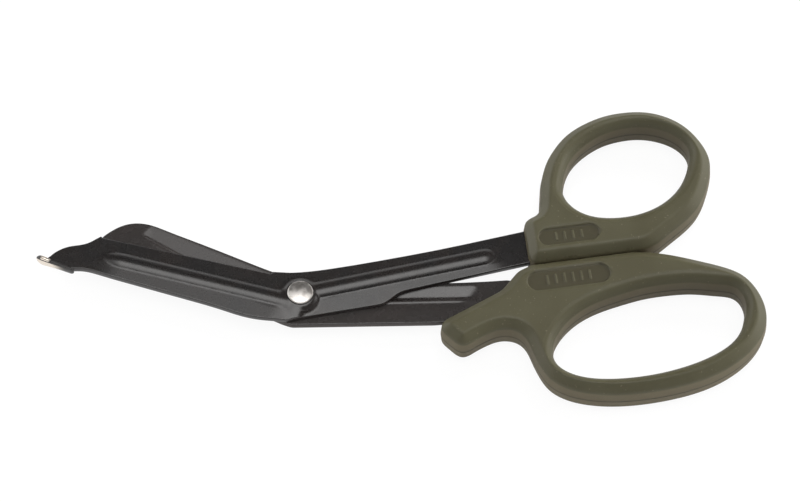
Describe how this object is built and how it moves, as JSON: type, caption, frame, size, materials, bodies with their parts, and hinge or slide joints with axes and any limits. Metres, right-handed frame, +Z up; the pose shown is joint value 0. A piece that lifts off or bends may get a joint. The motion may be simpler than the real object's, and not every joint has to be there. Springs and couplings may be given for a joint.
{
  "type": "bandage scissors",
  "caption": "Angled bandage scissors with a blunt foot on the lower jaw, ribbed black steel blades on a rivet, and moulded handles with a thumb ring and a long finger ring.",
  "frame": {"origin": "middle of the bounding box at the plane that the handles' undersides lie in, the scissors lying flat and closed", "axes": "+X from the jaws to the handles, +Y to the thumb ring's side, +Z up, along the hinge axis"},
  "size_m": [0.1879, 0.0848, 0.011],
  "materials": {
    "black_steel": "semi-gloss black coating on steel sheet",
    "bright_rivet": "bright tumbled steel",
    "olive_plastic": "satin olive moulded plastic"
  },
  "bodies": {
    "finger_half": {"upper_blade": "black_steel", "finger_handle": "olive_plastic", "pivot_rivet": "bright_rivet"},
    "thumb_half": {"lower_blade": "black_steel", "thumb_handle": "olive_plastic"}
  },
  "joints": [
    {"name": "blades_open", "type": "hinge", "parent": "finger_half", "child": "thumb_half", "pos_m": [-0.02546, -0.01246, 0.0055], "axis": [0, 0, 1], "range_deg": [0, 60]}
  ]
}
